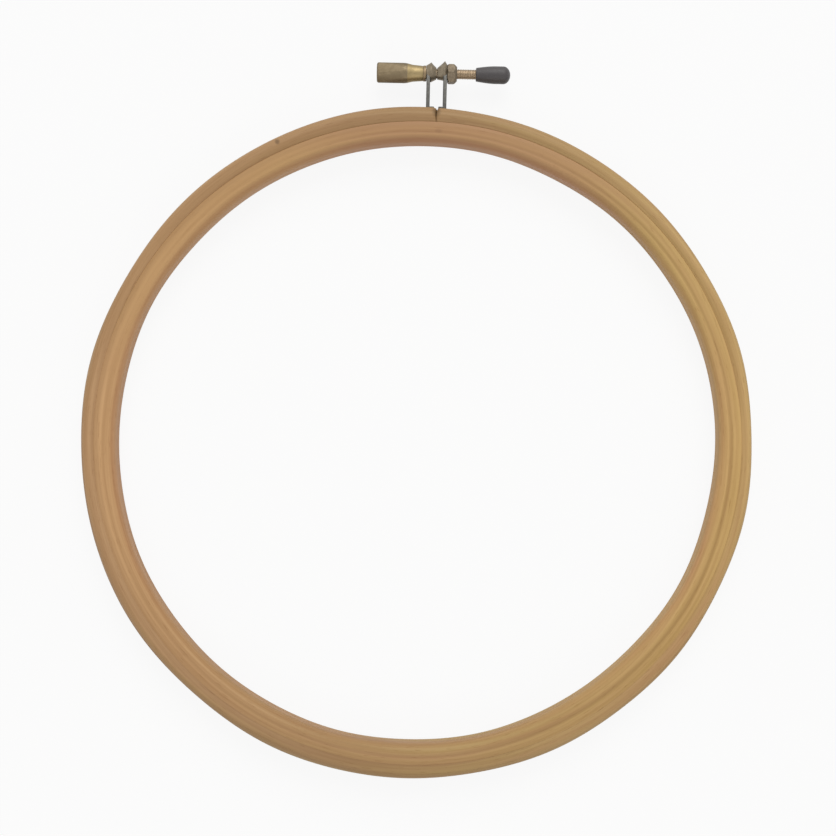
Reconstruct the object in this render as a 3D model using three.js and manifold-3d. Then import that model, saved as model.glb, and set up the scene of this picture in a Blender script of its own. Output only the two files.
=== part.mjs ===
// An embroidery hoop: a wooden inner ring seated in a split wooden outer ring, which a screw clamp draws shut.
// Millimetres. The hoop lies on its back: +Z is out of its front face and +Y is towards the clamp.

import * as THREE from "three";
import { mergeVertices } from "three/addons/utils/BufferGeometryUtils.js";
import Module from "manifold-3d";

const wasm = await Module();
wasm.setup();

// Rings. The two flat walls face each other, and the rounded walls face out and in.
const innerRingOutsideRadius = 96.47;
const clothGap = 0.35; // all round, where the cloth is held
const outerRingWall = 4.68;
const innerRingWall = 5.97;
const ringDepth = 11;
const seatEdgeRadius = 1; // rounding at both ends of a flat wall
const outerCrestLand = 1.2; // flat front and back of the outer ring
const innerCrestLand = 3.2; // flat front and back of the inner ring
const sideFlat = 4.4; // straight band in the middle of a rounded wall

// Split in the outer ring
const splitAtSeat = 0.6;
const splitAtOutside = 0.9;
const splitEndRadius = 1; // rounding of the two wooden ends

// Clearances
const seatGap = 0.3; // between pieces that touch or hold each other
const runningGap = 0.3; // round the screw

// Brackets
const clampLean = THREE.MathUtils.degToRad(2); // the clamp sits a little askew on the ring
const legFromSplit = 1.53;
const strapThickness = 1.1;
const strapWidth = 4.4;
const tailDepth = 3.6; // below the outer ring's surface
const tailEndWall = 0.8; // steel below the pin's hole
const footThickness = 0.55;
const footWrap = THREE.MathUtils.degToRad(35); // how far the foot curls over the wood's corner
const screwHeight = 10.4; // screw's axis above the outer ring's surface
const eyeRimRadius = 2.95;
const eyeRimLift = 0.9; // the dished rim stands higher than the screw's axis
const leftRimInward = 0.8; // from the leg's middle towards the split
const rightRimInward = 0.1;
const eyeTipGap = 0.9; // between the two eyes' inner lips
const eyeLipWall = 0.18;
const eyeBackWall = 0.5;
const eyeShoulder = 0.1; // how far an eye stands out of its leg's outer face

// Bracket pins
const pinRadius = 0.5;
const pinRecess = 0.4; // below the wooden end's face
const pinGrip = 2; // beyond the strap's outer face

// Screw and what turns with it
const screwRadius = 1.5;
const screwInKnob = 10;
const screwInCap = 7.5;
const openThread = 5.75; // thread in sight between the nut and the cap
const screwEndChamfer = 0.3;
const gripRadius = 3;
const gripLength = 8.3;
const gripEndRadius = 0.55;
const taperLength = 3.2;
const neckStartRadius = 2.45;
const neckEndRadius = 2.25;
const neckLength = 2.35;
const capMouthRadius = 2.05;
const capRadius = 2.62;
const capSwellLength = 6; // from the mouth to the full radius
const capLength = 10.4;
const capDomeLength = 2.1;

// Washer and nut
const washerRadius = 2.35;
const washerThickness = 0.5;
const nutAcrossFlats = 5.4;
const nutThickness = 2.6;
const nutChamfer = 0.55;

// Facets
const ringSteps = 120;
const shoulderSteps = 5;
const edgeSteps = 2;
const turnedSteps = 32;
const pinSteps = 16;
const roundingSteps = 4;

// Sizes that follow
const outerRingSeatRadius = innerRingOutsideRadius + clothGap;
const outerRingOutsideRadius = outerRingSeatRadius + outerRingWall;
const splitHalf = splitAtOutside / 2;
const splitCorner = Math.min(splitEndRadius, 0.65 * legFromSplit);
const legInner = splitHalf + legFromSplit;
const legMiddle = legInner + strapThickness / 2;
const legOuter = legInner + strapThickness;
const footGap = seatGap + legMiddle * Math.abs(Math.sin(clampLean));
const screwHoleRadius = screwRadius + runningGap;
const eyeBack = legOuter + eyeShoulder;
const pinHoleRadius = pinRadius + seatGap;
const pinDrop = tailDepth - tailEndWall - pinHoleRadius;
const pinStart = splitHalf + pinRecess;
const pinEnd = legOuter + pinGrip;
const nutStart = eyeBack + seatGap;
const nutEnd = nutStart + nutThickness;
const washerStart = eyeBack + seatGap;
const knobFace = washerStart + washerThickness + seatGap;
const capMouth = nutEnd + openThread;

// Finishes
const wood = new THREE.MeshStandardMaterial({ color: "#b48f5e", roughness: 0.5, metalness: 0 });
const innerWood = new THREE.MeshStandardMaterial({ color: "#b8905f", roughness: 0.5, metalness: 0 });
const steel = new THREE.MeshStandardMaterial({ color: "#7d7b76", roughness: 0.45, metalness: 0.9 });
const brass = new THREE.MeshStandardMaterial({ color: "#8c7a5a", roughness: 0.4, metalness: 0.9 });
const threadBrass = new THREE.MeshStandardMaterial({ color: "#a08564", roughness: 0.4, metalness: 0.9 });
const nutMetal = new THREE.MeshStandardMaterial({ color: "#7c7162", roughness: 0.5, metalness: 0.9 });
const rubber = new THREE.MeshStandardMaterial({ color: "#4b484a", roughness: 0.6, metalness: 0 });

// Solids

function toSolid(geometry) {
  const bare = geometry.clone();
  bare.deleteAttribute("normal");
  bare.deleteAttribute("uv");
  const merged = mergeVertices(bare, 1e-4);
  return new wasm.Manifold(
    new wasm.Mesh({
      numProp: 3,
      vertProperties: merged.getAttribute("position").array,
      triVerts: new Uint32Array(merged.getIndex().array),
    }),
  );
}

function toMesh(name, solid, material) {
  const { vertProperties, triVerts } = solid.getMesh();
  const geometry = new THREE.BufferGeometry();
  geometry.setAttribute("position", new THREE.BufferAttribute(vertProperties, 3));
  geometry.setIndex(new THREE.BufferAttribute(triVerts, 1));
  geometry.computeVertexNormals();
  const mesh = new THREE.Mesh(geometry, material);
  mesh.name = name;
  return mesh;
}

function arc(middle, radiusX, radiusY, fromDegrees, toDegrees, steps) {
  return Array.from({ length: steps + 1 }, (_, step) => {
    const angle = THREE.MathUtils.degToRad(THREE.MathUtils.lerp(fromDegrees, toDegrees, step / steps));
    return new THREE.Vector2(middle.x + radiusX * Math.cos(angle), middle.y + radiusY * Math.sin(angle));
  });
}

const at = (x, y) => new THREE.Vector2(x, y);

// A profile of radius and height, turned about the hoop's axis. A closed one ends where it starts.
function ringTurning(profile) {
  return new THREE.LatheGeometry([...profile, profile[0]], ringSteps).rotateX(Math.PI / 2);
}

// A profile of radius and place along the screw, turned about the screw's axis.
function turning(profile, steps = turnedSteps) {
  return new THREE.LatheGeometry(profile, steps).rotateZ(-Math.PI / 2);
}

function rod(radius, start, end, steps = turnedSteps) {
  return turning([at(0, start), at(radius, start), at(radius, end), at(0, end)], steps);
}

// Rings

// The section of a ring whose rounded wall faces out. Radii are counted from its flat wall.
function ringSection(wall, crestLand) {
  const shoulder = at(wall - seatEdgeRadius - crestLand, (ringDepth - sideFlat) / 2);
  const landEnd = seatEdgeRadius + crestLand;
  const low = at(landEnd, shoulder.y);
  const high = at(landEnd, ringDepth - shoulder.y);
  return [
    ...arc(low, shoulder.x, shoulder.y, -90, 0, shoulderSteps),
    ...arc(high, shoulder.x, shoulder.y, 0, 90, shoulderSteps),
    ...arc(at(seatEdgeRadius, ringDepth - seatEdgeRadius), seatEdgeRadius, seatEdgeRadius, 90, 180, edgeSteps),
    ...arc(at(seatEdgeRadius, seatEdgeRadius), seatEdgeRadius, seatEdgeRadius, 180, 270, edgeSteps),
  ];
}

function outerRingBlank() {
  return toSolid(ringTurning(ringSection(outerRingWall, outerCrestLand).map((p) => at(outerRingSeatRadius + p.x, p.y))));
}

function innerRing() {
  const mirrored = ringSection(innerRingWall, innerCrestLand).map((p) => at(innerRingOutsideRadius - p.x, p.y));
  return toSolid(ringTurning(mirrored.reverse()));
}

// The clamp's own frame: its middle is on the outer ring's surface at the split, x runs along the screw
// towards the nut, and y stands up from the ring.
const clamp = new THREE.Group();
clamp.position.set(0, outerRingOutsideRadius, ringDepth / 2);
clamp.rotation.z = clampLean;
clamp.updateMatrix();

function acrossDepth(shape, depth) {
  const geometry = new THREE.ExtrudeGeometry(shape, { depth, bevelEnabled: false });
  return geometry.translate(0, 0, -depth / 2);
}

function splitCutter() {
  const below = -2 * outerRingWall;
  const above = 2 * splitCorner;
  const outline = [
    at(splitAtSeat / 2, below),
    at(splitHalf, -splitCorner),
    ...arc(at(splitHalf + splitCorner, -splitCorner), splitCorner, splitCorner, 180, 90, roundingSteps).slice(1),
    at(splitHalf + splitCorner, above),
  ];
  const mirrored = outline.map((p) => at(-p.x, p.y)).reverse();
  return toSolid(acrossDepth(new THREE.Shape([...outline, ...mirrored]), 2 * ringDepth));
}

function tailMortise(side) {
  const top = outerRingWall;
  const bottom = -tailDepth - seatGap;
  const box = new THREE.BoxGeometry(strapThickness + 2 * seatGap, top - bottom, strapWidth + 2 * seatGap);
  return toSolid(box.translate(side * legMiddle, (top + bottom) / 2, 0));
}

// A round bar along the screw's direction at the pins' height
function pinBar(side, radius, start, end) {
  const bar = rod(radius, Math.min(side * start, side * end), Math.max(side * start, side * end), pinSteps);
  return toSolid(bar.translate(0, -pinDrop, 0));
}

function outerRing() {
  let cuts = splitCutter();
  for (const side of [-1, 1]) {
    cuts = cuts.add(tailMortise(side)).add(pinBar(side, pinHoleRadius, 0, pinEnd + seatGap));
  }
  return outerRingBlank().subtract(cuts.transform(clamp.matrix.toArray()));
}

// Brackets

// Leg, tail and foot seen from the front: the foot lies on the ring and curls over its rounded end.
function strapOutline(side) {
  const corner = at(splitHalf + splitCorner, -splitCorner);
  const inside = splitCorner + footGap;
  const outside = inside + footThickness;
  const curl = 90 + THREE.MathUtils.radToDeg(footWrap);
  const outline = [
    at(legInner, -tailDepth),
    at(legOuter, -tailDepth),
    at(legOuter, screwHeight),
    at(legInner, screwHeight),
    at(legInner, corner.y + outside),
    ...arc(corner, outside, outside, 90, curl, roundingSteps),
    ...arc(corner, inside, inside, curl, 90, roundingSteps),
    at(legInner, corner.y + inside),
  ];
  return new THREE.Shape(outline.map((p) => at(side * p.x, p.y)));
}

// The eye is dished: it widens from its back to a rim and closes to a lip round the screw. The rim's circle
// is lifted, so the eye is an oblique cone on each side of it.
function eye(side, rimInward) {
  const lip = screwHoleRadius + eyeLipWall;
  const profile = [
    at(0, eyeTipGap / 2),
    at(lip, eyeTipGap / 2),
    at(eyeRimRadius, legMiddle - rimInward),
    at(screwHoleRadius + eyeBackWall, eyeBack),
    at(0, eyeBack),
  ];
  const geometry = turning(profile);
  const place = geometry.getAttribute("position");
  for (let i = 0; i < place.count; i += 1) {
    const radius = Math.hypot(place.getY(i), place.getZ(i));
    const lift = (eyeRimLift * Math.max(0, radius - lip)) / (eyeRimRadius - lip);
    place.setY(i, place.getY(i) + lift + screwHeight);
  }
  const solid = toSolid(geometry);
  return side < 0 ? solid.mirror([1, 0, 0]) : solid;
}

function bracket(side, rimInward) {
  const strap = toSolid(acrossDepth(strapOutline(side), strapWidth));
  const reach = 2 * eyeBack;
  const screwHole = toSolid(rod(screwHoleRadius, -reach, reach).translate(0, screwHeight, 0));
  return strap.add(eye(side, rimInward)).subtract(screwHole).subtract(pinBar(side, pinHoleRadius, 0, reach));
}

// Screw, knob, washer, nut and cap, each on the screw's axis

function clampScrew() {
  const start = -knobFace - screwInKnob;
  const end = capMouth + screwInCap;
  const tipRadius = screwRadius - screwEndChamfer;
  return turning([
    at(0, start),
    at(tipRadius, start),
    at(screwRadius, start + screwEndChamfer),
    at(screwRadius, end - screwEndChamfer),
    at(tipRadius, end),
    at(0, end),
  ]);
}

function thumbKnob() {
  const taperEnd = -knobFace - neckLength;
  const taperStart = taperEnd - taperLength;
  const end = taperStart - gripLength;
  const boreEnd = -knobFace - screwInKnob - seatGap;
  const corner = at(gripRadius - gripEndRadius, end + gripEndRadius);
  return turning([
    at(0, end),
    ...arc(corner, gripEndRadius, gripEndRadius, -90, 0, roundingSteps),
    at(gripRadius, taperStart),
    at(neckStartRadius, taperEnd),
    at(neckEndRadius, -knobFace),
    at(screwHoleRadius, -knobFace),
    at(screwHoleRadius, boreEnd),
    at(0, boreEnd),
  ]);
}

function knobWasher() {
  const outline = [
    at(screwHoleRadius, -washerStart - washerThickness),
    at(washerRadius, -washerStart - washerThickness),
    at(washerRadius, -washerStart),
    at(screwHoleRadius, -washerStart),
  ];
  return turning([...outline, outline[0]]);
}

function clampNut() {
  const corner = nutAcrossFlats / Math.sqrt(3);
  const flat = nutAcrossFlats / 2;
  const prism = new THREE.CylinderGeometry(corner, corner, nutThickness, 6).rotateZ(-Math.PI / 2);
  prism.translate((nutStart + nutEnd) / 2, 0, 0);
  const chamfered = turning([
    at(0, nutStart),
    at(flat, nutStart),
    at(corner, nutStart + (corner - flat)),
    at(corner, nutEnd - nutChamfer - (corner - flat)),
    at(flat, nutEnd - nutChamfer),
    at(flat - nutChamfer, nutEnd),
    at(0, nutEnd),
  ]);
  const hole = rod(screwHoleRadius, nutStart - nutThickness, nutEnd + nutThickness);
  return toSolid(prism).intersect(toSolid(chamfered)).subtract(toSolid(hole));
}

function screwEndCap() {
  const boreEnd = capMouth + screwInCap + seatGap;
  const domeStart = capMouth + capLength - capDomeLength;
  return turning([
    at(0, boreEnd),
    at(screwHoleRadius, boreEnd),
    at(screwHoleRadius, capMouth),
    at(capMouthRadius, capMouth),
    at(capRadius, capMouth + capSwellLength),
    ...arc(at(0, domeStart), capRadius, capDomeLength, 0, 90, 2 * roundingSteps),
  ]);
}

// Assembly

const onScrewAxis = new THREE.Group();
onScrewAxis.position.y = screwHeight;
onScrewAxis.add(
  toMesh("clamp_screw", toSolid(clampScrew()), threadBrass),
  toMesh("thumb_knob", toSolid(thumbKnob()), brass),
  toMesh("knob_washer", toSolid(knobWasher()), steel),
  toMesh("clamp_nut", clampNut(), nutMetal),
  toMesh("screw_end_cap", toSolid(screwEndCap()), rubber),
);
clamp.add(
  toMesh("left_bracket", bracket(-1, leftRimInward), steel),
  toMesh("right_bracket", bracket(1, rightRimInward), steel),
  toMesh("left_bracket_pin", pinBar(-1, pinRadius, pinStart, pinEnd), steel),
  toMesh("right_bracket_pin", pinBar(1, pinRadius, pinStart, pinEnd), steel),
  onScrewAxis,
);

const hoop = new THREE.Group();
hoop.add(toMesh("outer_ring", outerRing(), wood), toMesh("inner_ring", innerRing(), innerWood), clamp);

// The origin is the middle of the whole object's base.
const box = new THREE.Box3().setFromObject(hoop, true);
const middle = box.getCenter(new THREE.Vector3());
hoop.position.set(-middle.x, -middle.y, -box.min.z);

export default hoop;
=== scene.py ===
# %% [markdown]
# This lesson dresses a wooden embroidery hoop. The hoop is two wooden rings, one seated inside the
# other, and a little screw clamp that draws the split outer ring shut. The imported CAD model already
# says where every part is and how it moves. We could model everything again from nothing, but then
# the looks and the mechanics would drift apart, so we load that model first and build on it.

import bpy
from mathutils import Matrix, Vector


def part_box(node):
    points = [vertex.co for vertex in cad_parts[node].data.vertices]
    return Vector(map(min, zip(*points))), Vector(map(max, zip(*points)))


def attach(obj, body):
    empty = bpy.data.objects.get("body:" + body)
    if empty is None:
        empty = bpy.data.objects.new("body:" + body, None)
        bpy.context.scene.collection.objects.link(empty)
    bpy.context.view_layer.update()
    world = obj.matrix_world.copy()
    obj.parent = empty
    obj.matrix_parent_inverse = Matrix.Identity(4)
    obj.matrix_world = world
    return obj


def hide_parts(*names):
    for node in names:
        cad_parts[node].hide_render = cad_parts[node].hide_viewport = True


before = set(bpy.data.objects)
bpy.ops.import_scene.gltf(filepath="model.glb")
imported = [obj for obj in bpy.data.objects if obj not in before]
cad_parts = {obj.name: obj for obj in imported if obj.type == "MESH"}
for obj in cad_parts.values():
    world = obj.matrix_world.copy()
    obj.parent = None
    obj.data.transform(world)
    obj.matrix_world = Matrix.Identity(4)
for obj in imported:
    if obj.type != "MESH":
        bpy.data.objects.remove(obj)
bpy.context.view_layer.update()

# %% [markdown]
# Everything below works in metres, as the model does, but a hoop is easier to think of in
# millimetres, so one constant turns them round. The sizes that the CAD settled are read from its
# boxes rather than typed a second time. The hoop lies on its back: +Z is its front and +Y is where
# the clamp stands.

# %% Tools and the hoop's main sizes
import math

import bmesh
import bpy
from mathutils import Matrix, Vector

MM = 0.001

inner_low, inner_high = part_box("inner_ring")
outer_low, outer_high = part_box("outer_ring")
ring_middle = (inner_low + inner_high) / 2
ring_depth = inner_high.z - inner_low.z
inner_ring_radius = (inner_high.x - inner_low.x) / 2
outer_ring_radius = (outer_high.x - outer_low.x) / 2
print("ring radii in mm:", round(inner_ring_radius / MM, 2), round(outer_ring_radius / MM, 2))

# %% [markdown]
# The clamp sits a little askew on the ring, so its parts are easiest to build in a frame of their
# own: x runs along the screw towards the nut, y stands up from the ring, and z goes through the
# hoop's depth. A matrix then carries each finished shape to its place.

# %% The clamp's own frame
clamp_lean = math.radians(2)
clamp_place = (
    Matrix.Translation((0, ring_middle.y + outer_ring_radius, ring_middle.z))
    @ Matrix.Rotation(clamp_lean, 4, "Z")
)
screw_height = 10.4 * MM
screw_place = clamp_place @ Matrix.Translation((0, screw_height, 0))
print("screw axis passes", [round(c / MM, 2) for c in screw_place.translation])

# %% [markdown]
# The photograph looks straight down at the hoop, so both rings show as circles, and the hoop is
# turned a few degrees clockwise. The camera could be given angles, but here its three axes are
# plainer: the picture's right, its up, and straight back from the hoop. It hangs a little towards
# the clamp, because the clamp and the rings together fill the picture.

# %% Camera
picture_turn = math.radians(3.33)
camera_distance = 426.5 * MM
picture_width = 253.2 * MM
hang_right = 0.43
hang_up = 7.49

picture_right = Vector((math.cos(picture_turn), math.sin(picture_turn), 0))
picture_up = Vector((-math.sin(picture_turn), math.cos(picture_turn), 0))
picture_back = Vector((0, 0, 1))

camera = bpy.data.objects.new("camera", bpy.data.cameras.new("camera"))
bpy.context.scene.collection.objects.link(camera)
camera.data.lens = camera.data.sensor_width * camera_distance / picture_width
hang = (picture_right * hang_right + picture_up * hang_up) * MM
camera_spot = ring_middle + picture_back * camera_distance + hang
camera.matrix_world = Matrix.Translation(camera_spot) @ Matrix(
    (picture_right, picture_up, picture_back)
).transposed().to_4x4()
bpy.context.scene.camera = camera
bpy.context.scene.view_settings.view_transform = "Standard"
print("lens in mm:", round(camera.data.lens, 1))

# %% [markdown]
# Materials are graphs of nodes. Adding a node, setting its options, giving its inputs values and
# wiring it up are always the same few lines, so a helper does them: a value that is an output
# socket is wired, and anything else is stored in the input. Shorter helpers then make the nodes that
# come up most: maths, a blend of two colours, and a range stretched to another with soft ends.
# The last one turns a given colour into the linear light that shaders work in.

# %% Helpers for node graphs and colours
def add_node(tree, kind, options=None, values=None):
    node = tree.nodes.new(kind)
    for option, choice in (options or {}).items():
        setattr(node, option, choice)
    for socket, value in (values or {}).items():
        if isinstance(value, bpy.types.NodeSocket):
            tree.links.new(value, node.inputs[socket])
        else:
            node.inputs[socket].default_value = value
    return node


def maths(tree, operation, *values, clamp=False):
    options = {"operation": operation, "use_clamp": clamp}
    return add_node(tree, "ShaderNodeMath", options, dict(enumerate(values))).outputs[0]


def mix(tree, factor, first, second, blend="MIX"):
    options = {"data_type": "RGBA", "blend_type": blend}
    return add_node(tree, "ShaderNodeMix", options, {"Factor": factor, 6: first, 7: second}).outputs[2]


def soft_range(tree, value, low, high, bottom, top):
    ends = {"Value": value, "From Min": low, "From Max": high, "To Min": bottom, "To Max": top}
    return add_node(tree, "ShaderNodeMapRange", {"interpolation_type": "SMOOTHSTEP"}, ends).outputs[0]


def colour(red, green, blue):
    """Takes shares from 0 to 255."""
    linear = [
        c / 12.92 if c <= 0.04045 else ((c + 0.055) / 1.055) ** 2.4
        for c in (red / 255, green / 255, blue / 255)
    ]
    return (*linear, 1)


print("node and colour helpers ready")

# %% [markdown]
# The hoop lies on a plain pale table that goes to white in the picture. Brighter lamps would do
# that too, but they would also wash out the wood. So the table's own material lets only the camera
# and mirror rays see a mix of its shaded paint and plain white: the hoop keeps its soft shadow.
# The surroundings shine at half strength, and look white in the same way.

# %% Table and surroundings
white_share = 0.9
sky_light = 0.5


def sees_backdrop(tree):
    """1 for rays from the camera, from a mirror or through glass, and 0 for light on its way."""
    rays = add_node(tree, "ShaderNodeLightPath").outputs
    seen = maths(tree, "MAXIMUM", rays["Is Camera Ray"], rays["Is Glossy Ray"])
    return maths(tree, "MAXIMUM", seen, rays["Is Transmission Ray"])


table_paint = bpy.data.materials.new("table_paint")
table_paint.use_nodes = True
tree = table_paint.node_tree
tree.nodes.clear()
paint = add_node(tree, "ShaderNodeBsdfDiffuse", values={"Color": (0.7, 0.7, 0.7, 1)})
white = add_node(tree, "ShaderNodeEmission", values={"Color": (1, 1, 1, 1), "Strength": 1.0})
share = maths(tree, "MULTIPLY", sees_backdrop(tree), white_share)
mixed = add_node(tree, "ShaderNodeMixShader", values={0: share, 1: paint.outputs[0], 2: white.outputs[0]})
add_node(tree, "ShaderNodeOutputMaterial", values={"Surface": mixed.outputs[0]})

table_mesh = bpy.data.meshes.new("table")
table_shape = bmesh.new()
bmesh.ops.create_grid(table_shape, x_segments=1, y_segments=1, size=3)
table_shape.to_mesh(table_mesh)
table_shape.free()
table_mesh.materials.append(table_paint)
table = bpy.data.objects.new("table", table_mesh)
bpy.context.scene.collection.objects.link(table)

world = bpy.data.worlds.new("studio")
bpy.context.scene.world = world
world.use_nodes = True
tree = world.node_tree
tree.nodes.clear()
level = maths(tree, "MULTIPLY_ADD", sees_backdrop(tree), 1 - sky_light, sky_light)
sky = add_node(tree, "ShaderNodeBackground", values={"Color": (1, 1, 1, 1), "Strength": level})
add_node(tree, "ShaderNodeOutputWorld", values={"Surface": sky.outputs[0]})
print("table and surroundings ready")

# %% [markdown]
# The light in the photograph comes softly from beyond the clamp, and a weaker one lifts the near
# side. Large square lamps give such light. Each lamp's local Z is aimed away from the hoop.

# %% Lamps
def soft_lamp(name, place, size, power, tint):
    lamp = bpy.data.lights.new(name, "AREA")
    lamp.shape = "SQUARE"
    lamp.size = size
    lamp.energy = power
    lamp.color = tint
    holder = bpy.data.objects.new(name, lamp)
    bpy.context.scene.collection.objects.link(holder)
    aim = (Vector(place) - ring_middle).to_track_quat("Z", "Y")
    holder.matrix_world = Matrix.Translation(place) @ aim.to_matrix().to_4x4()
    print(name, "at", place, "with", power, "W")


soft_lamp("window_light", (0.2, 2.3, 2.2), 2.1, 62, (1.0, 0.99, 0.97))
soft_lamp("near_fill", (0.4, -1.7, 1.3), 1.6, 9, (1.0, 0.98, 0.95))

# %% [markdown]
# Both rings are one species of pale, fine-grained wood that was bent round, so the grain follows
# the ring. The trick is a noise in four dimensions: the place on the ring's circle is squeezed so
# that it changes slowly, while the radius, as the fourth number, and the height change quickly.
# The streaks then run round the ring with no seam anywhere. It is a group, because both rings use it.

# %% Wood grain group and its noises
def new_group(name, inputs, outputs):
    group = bpy.data.node_groups.new(name, "ShaderNodeTree")
    for label, kind, value in inputs:
        socket = group.interface.new_socket(label, in_out="INPUT", socket_type=kind)
        if value is not None:
            socket.default_value = value
    for label, kind in outputs:
        group.interface.new_socket(label, in_out="OUTPUT", socket_type=kind)
    given = add_node(group, "NodeGroupInput").outputs
    return group, given


wood_grain, given = new_group(
    "wood_grain",
    [
        ("Place", "NodeSocketVector", None),
        ("Pale Wood", "NodeSocketColor", colour(200, 168, 120)),
        ("Deep Wood", "NodeSocketColor", colour(160, 124, 80)),
        ("Red Cast", "NodeSocketColor", (1.0, 0.95, 1.03, 1)),
        ("Yellow Cast", "NodeSocketColor", (1.0, 1.06, 0.94, 1)),
        ("Pore Depth", "NodeSocketFloat", 0.5),
        # painted light: how much paler the hoop's right side is made
        ("Painted Light Right", "NodeSocketFloat", 0.12),
    ],
    [("Color", "NodeSocketColor"), ("Roughness", "NodeSocketFloat"), ("Height", "NodeSocketFloat")],
)
parts = add_node(wood_grain, "ShaderNodeSeparateXYZ", values={0: given["Place"]}).outputs
x_squared = maths(wood_grain, "POWER", parts[0], 2)
y_squared = maths(wood_grain, "POWER", parts[1], 2)
radius = maths(wood_grain, "SQRT", maths(wood_grain, "ADD", x_squared, y_squared))


def ring_noise(along, across, detail):
    """Noise with that many waves per metre round the ring, and across its section."""
    spot = add_node(
        wood_grain,
        "ShaderNodeVectorMath",
        {"operation": "MULTIPLY"},
        {0: given["Place"], 1: (along, along, across)},
    )
    noise = add_node(
        wood_grain,
        "ShaderNodeTexNoise",
        {"noise_dimensions": "4D"},
        {
            "Vector": spot.outputs[0],
            "W": maths(wood_grain, "MULTIPLY", radius, across),
            "Scale": 1.0,
            "Detail": detail,
            "Roughness": 0.55,
        },
    )
    return noise.outputs["Fac"]


streaks = ring_noise(30, 1500, 3.0)
bands = ring_noise(7, 420, 2.0)
pores = ring_noise(260, 5200, 1.0)
drift = ring_noise(9, 60, 1.0)
hue = ring_noise(11, 230, 2.0)
print("wood noises:", len(wood_grain.nodes), "nodes")

# %% [markdown]
# The noises become a colour step by step. Streaks, bands and a slow drift add up and choose between
# pale and deep wood. Another slow noise casts some stretches redder and others yellower, and leans
# to yellow on the hoop's right. Fine dark pores come next. Last, the tone changes slowly round the
# hoop: darker towards the clamp and away from it, and paler on the right, which is painted light
# that lifts the right side. A painted picture could hold all this, but as nodes each amount stays
# one number.

# %% Wood colour, gloss and relief
yellower_right = 0.2
pore_strength = 0.5
middle_shade = 1.14
darker_ends = 0.32

fine_depth = soft_range(wood_grain, streaks, 0.3, 0.7, 0.0, 0.34)
band_depth = soft_range(wood_grain, bands, 0.3, 0.7, 0.0, 0.36)
slow_depth = soft_range(wood_grain, drift, 0.25, 0.75, 0.0, 0.3)
depth = maths(wood_grain, "ADD", maths(wood_grain, "ADD", fine_depth, band_depth), slow_depth)
plain_tone = mix(wood_grain, depth, given["Pale Wood"], given["Deep Wood"])
to_right = maths(wood_grain, "DIVIDE", parts[0], radius)
to_clamp_side = maths(wood_grain, "DIVIDE", parts[1], radius)
yellowness = maths(wood_grain, "MULTIPLY_ADD", to_right, yellower_right, hue)
yellow_share = soft_range(wood_grain, yellowness, 0.3, 0.75, 0.0, 1.0)
warmth = mix(wood_grain, yellow_share, given["Red Cast"], given["Yellow Cast"])
tone = mix(wood_grain, 1.0, plain_tone, warmth, "MULTIPLY")
flecks = soft_range(wood_grain, pores, 0.62, 0.74, 0.0, 1.0)
fleck_share = maths(wood_grain, "MULTIPLY", flecks, pore_strength)
flecked = mix(wood_grain, fleck_share, tone, (0.62, 0.5, 0.4, 1), "MULTIPLY")
# painted light: the tone is scaled up towards the hoop's right, as more light there would do
shade_with_painted_light = maths(wood_grain, "MULTIPLY_ADD", to_right, given["Painted Light Right"], middle_shade)
end_shade = maths(wood_grain, "MULTIPLY", maths(wood_grain, "POWER", to_clamp_side, 2), darker_ends)
shaded = add_node(
    wood_grain,
    "ShaderNodeVectorMath",
    {"operation": "SCALE"},
    {0: flecked, "Scale": maths(wood_grain, "SUBTRACT", shade_with_painted_light, end_shade)},
)
streak_gloss = soft_range(wood_grain, streaks, 0.3, 0.7, 0.50, 0.60)
gloss = maths(wood_grain, "ADD", streak_gloss, maths(wood_grain, "MULTIPLY", flecks, 0.12))
streak_height = maths(wood_grain, "MULTIPLY", streaks, 0.6)
pore_depth = maths(wood_grain, "MULTIPLY", flecks, given["Pore Depth"])
height = maths(wood_grain, "SUBTRACT", streak_height, pore_depth)
results = {"Color": shaded.outputs[0], "Roughness": gloss, "Height": height}
add_node(wood_grain, "NodeGroupOutput", values=results)
print("wood grain group:", len(wood_grain.nodes), "nodes")

# %% [markdown]
# Real wood also has single marks: a pin knot, a dent, a smear where two ends were glued, a broad
# patch of paler or redder wood. Each is a soft blot of its own colour round one point, and the same
# blot also serves as painted shade in a notch. A group with the point and its reach as inputs serves
# every mark.

# %% Single mark group
wood_mark, given = new_group(
    "wood_mark",
    [
        ("Place", "NodeSocketVector", None),
        ("Middle", "NodeSocketVector", (0, 0, 0)),
        ("Turn", "NodeSocketFloat", 0.0),
        ("Reach", "NodeSocketVector", (0.001, 0.001, 0.001)),
    ],
    [("Mask", "NodeSocketFloat")],
)


def vector_maths(operation, *values):
    options = {"operation": operation}
    return add_node(wood_mark, "ShaderNodeVectorMath", options, dict(enumerate(values))).outputs


aside = vector_maths("SUBTRACT", given["Place"], given["Middle"])
turned = add_node(
    wood_mark,
    "ShaderNodeVectorRotate",
    {"rotation_type": "Z_AXIS"},
    {"Vector": aside[0], "Angle": given["Turn"]},
)
away = vector_maths("LENGTH", vector_maths("DIVIDE", turned.outputs[0], given["Reach"])[0])
near = soft_range(wood_mark, away["Value"], 0.35, 1.0, 1.0, 0.0)
add_node(wood_mark, "NodeGroupOutput", values={"Mask": near})
print("mark group:", len(wood_mark.nodes), "nodes")

# %% [markdown]
# The inner ring was bent from two strips, and their glue line shows as a fine dark line, most
# clearly on the right. Near the clamp, painted shade darkens the wood beside the joint on the left,
# and a redder painted shade lies on the rounded wall, which faces away from the light there. Masks
# drawn from the hoop's middle would miss the ring's hand-made waves, so these shades follow a number
# that each point of the ring stores: how far it is from the flat wall, in millimetres.

# %% Glue line and painted shade across the inner ring
glue_line = 2.83


def ramp(tree, place, per_metre, at_middle):
    """Changes steadily with the place, and stays between 0 and 1."""
    return maths(tree, "MULTIPLY_ADD", place, per_metre, at_middle, clamp=True)


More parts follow.
